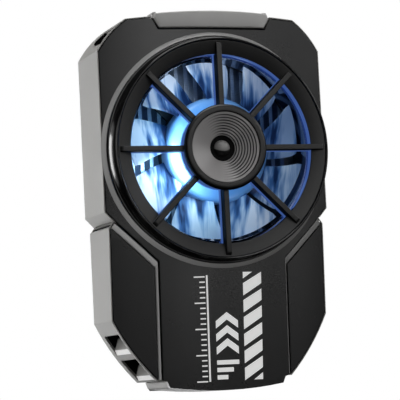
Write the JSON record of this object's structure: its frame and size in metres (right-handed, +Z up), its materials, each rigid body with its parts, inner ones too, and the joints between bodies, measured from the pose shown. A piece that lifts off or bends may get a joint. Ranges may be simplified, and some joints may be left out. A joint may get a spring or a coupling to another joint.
{
  "type": "phone cooling fan",
  "caption": "Clip-on phone cooler: a round fan with a deep spoked grille and lit rotor on a notched housing, a cold plate behind, and a sprung jaw that grips a phone edge to edge.",
  "frame": {"origin": "centre of the thermal pad face that touches the phone, on the fan axis", "axes": "+Y out of that face towards the phone, +Z up along the long side, +X to the right seen from the fan side"},
  "size_m": [0.055, 0.0393, 0.0881],
  "materials": {
    "shell_grey": "satin",
    "cover_black": "satin",
    "trim_grey": "satin",
    "drum_black": "gloss",
    "grille_black": "satin",
    "disc_grey": "satin",
    "clear_blue": "clear",
    "milky": "translucent",
    "inner_black": "matte",
    "board_green": "satin",
    "led_white": "gloss",
    "bronze": "satin",
    "steel": "brushed",
    "copper": "satin",
    "magnet": "matte",
    "aluminium": "satin",
    "ceramic": "matte",
    "pellet": "matte",
    "foam": "matte",
    "pad_grey": "matte",
    "rubber_black": "matte",
    "chip_black": "matte"
  },
  "bodies": {
    "housing": {"rear_shell": "shell_grey", "rear_cover": "inner_black", "front_cover": "cover_black", "left_wing_panel": "cover_black", "right_wing_panel": "cover_black", "left_bevel_trim": "trim_grey", "right_bevel_trim": "trim_grey", "ring_trim": "trim_grey", "bezel_drum": "drum_black", "grille": "grille_black", "light_guide": "clear_blue", "hub_disc": "disc_grey", "hub_stud": "disc_grey", "fan_shroud": "inner_black", "fan_frame": "inner_black", "led_board": "board_green", "leds": "led_white", "bearing_sleeve": "bronze", "stator_core": "steel", "stator_coils": "copper", "heat_sink": "aluminium", "fan_screws": "steel", "tec_hot_plate": "ceramic", "tec_pellets": "pellet", "tec_cold_plate": "ceramic", "insulation_frame": "foam", "cold_plate": "aluminium", "thermal_pad": "pad_grey", "control_board": "board_green", "board_parts": "chip_black", "board_screws": "steel", "usb_port": "steel", "lower_jaw": "shell_grey", "lower_jaw_pad": "rubber_black", "left_spring": "steel", "right_spring": "steel", "spring_posts": "steel", "case_screws": "steel"},
    "rotor": {"impeller": "milky", "rotor_yoke": "steel", "rotor_magnet": "magnet", "shaft": "steel"},
    "jaw": {"upper_jaw": "trim_grey", "upper_jaw_pad": "rubber_black"}
  },
  "joints": [
    {"name": "rotor_spin", "type": "hinge", "parent": "housing", "child": "rotor", "pos_m": [0, -0.0198, 0], "axis": [0, 1, 0], "continuous": true},
    {"name": "jaw_slide", "type": "slide", "parent": "housing", "child": "jaw", "axis": [0, 0, 1], "range_m": [0, 0.022], "stiffness_N_per_m": 200, "springref_m": -0.01, "deforming": ["left_spring", "right_spring"]}
  ]
}
